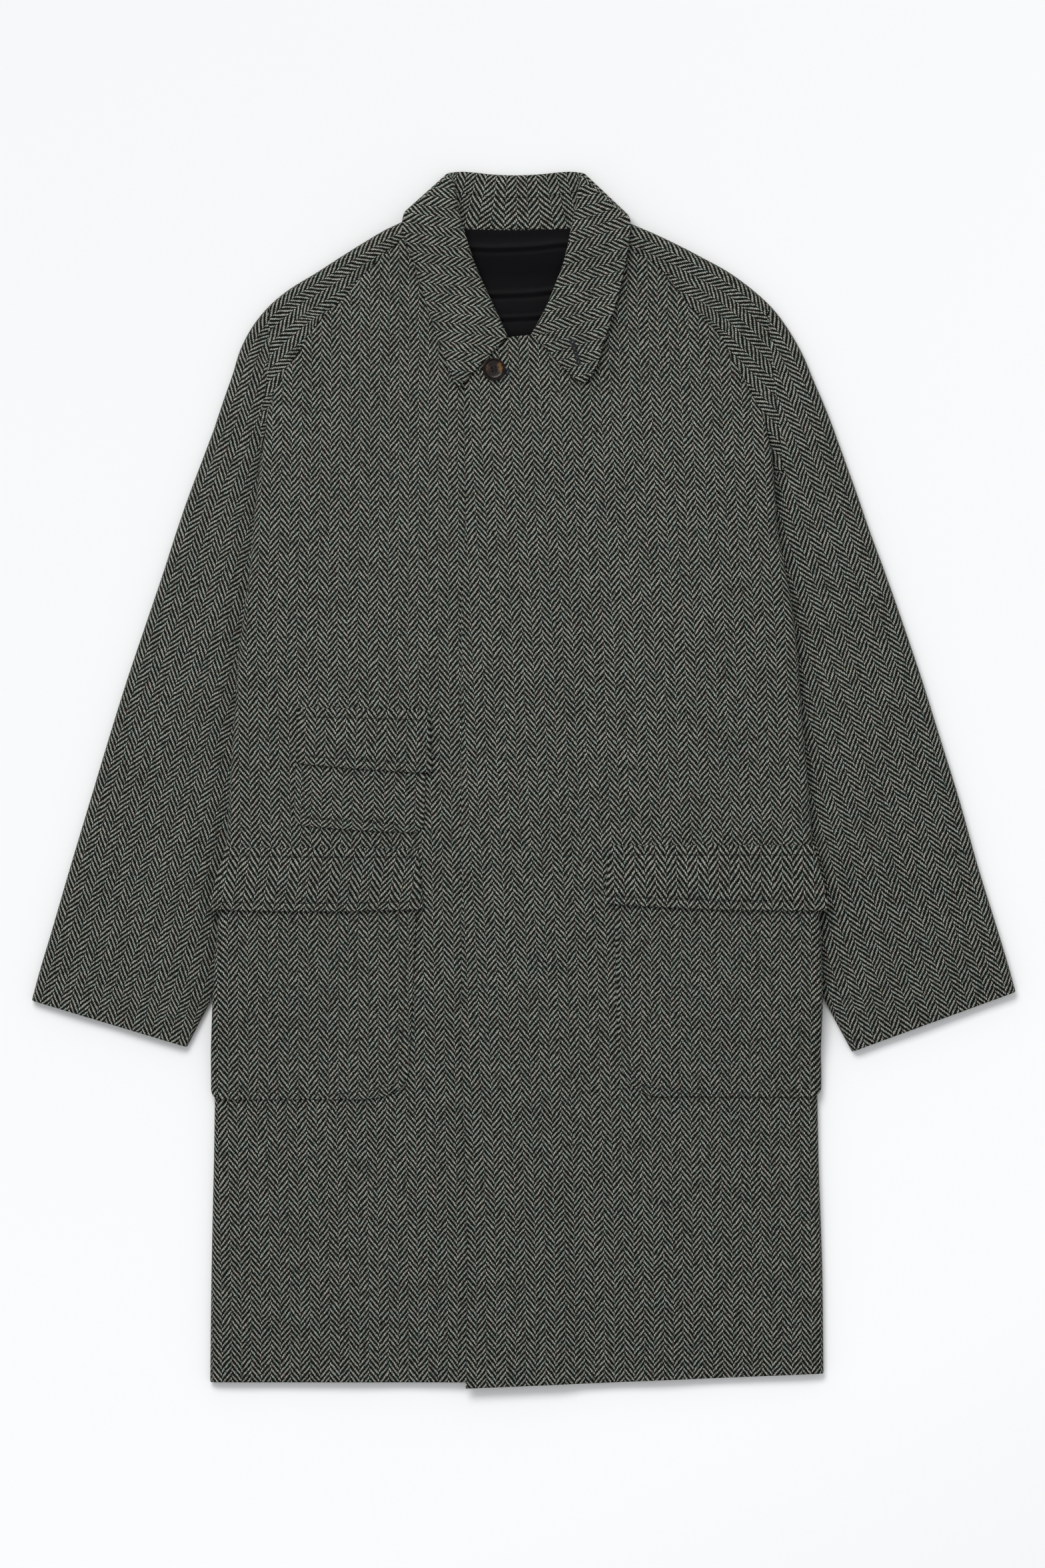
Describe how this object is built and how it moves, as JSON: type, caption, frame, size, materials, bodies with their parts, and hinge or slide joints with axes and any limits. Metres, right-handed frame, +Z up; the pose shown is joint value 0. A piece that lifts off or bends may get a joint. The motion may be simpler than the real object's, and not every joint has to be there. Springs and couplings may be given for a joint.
{
  "type": "balmacaan coat",
  "caption": "Tweed balmacaan coat laid flat on its back: raglan sleeves spread, turn-down collar, fly front with a neck button, flapped patch pockets and a ticket pocket.",
  "frame": {"origin": "middle of the laid coat's footprint, on the surface that it lies on", "axes": "+X to the wearer's left, +Y from hem to collar, +Z up from the surface that the back lies on"},
  "size_m": [0.9162, 1.1321, 0.0238],
  "materials": {
    "tweed": "thick woollen herringbone tweed, grey-green and near-black, with a dry nap",
    "lining": "black satin lining with a soft sheen",
    "horn": "polished dark brown horn with amber streaks"
  },
  "bodies": {
    "root": {"back": "tweed", "front_left": "tweed", "front_right": "tweed", "sleeve_left_front": "tweed", "sleeve_left_back": "tweed", "sleeve_right_front": "tweed", "sleeve_right_back": "tweed", "collar_fall": "tweed", "collar_stand": "tweed", "neck_lining": "lining", "pocket_left": "tweed", "pocket_right": "tweed", "flap_left": "tweed", "flap_right": "tweed", "ticket_pocket": "tweed", "ticket_flap": "tweed", "button": "horn"}
  },
  "joints": []
}
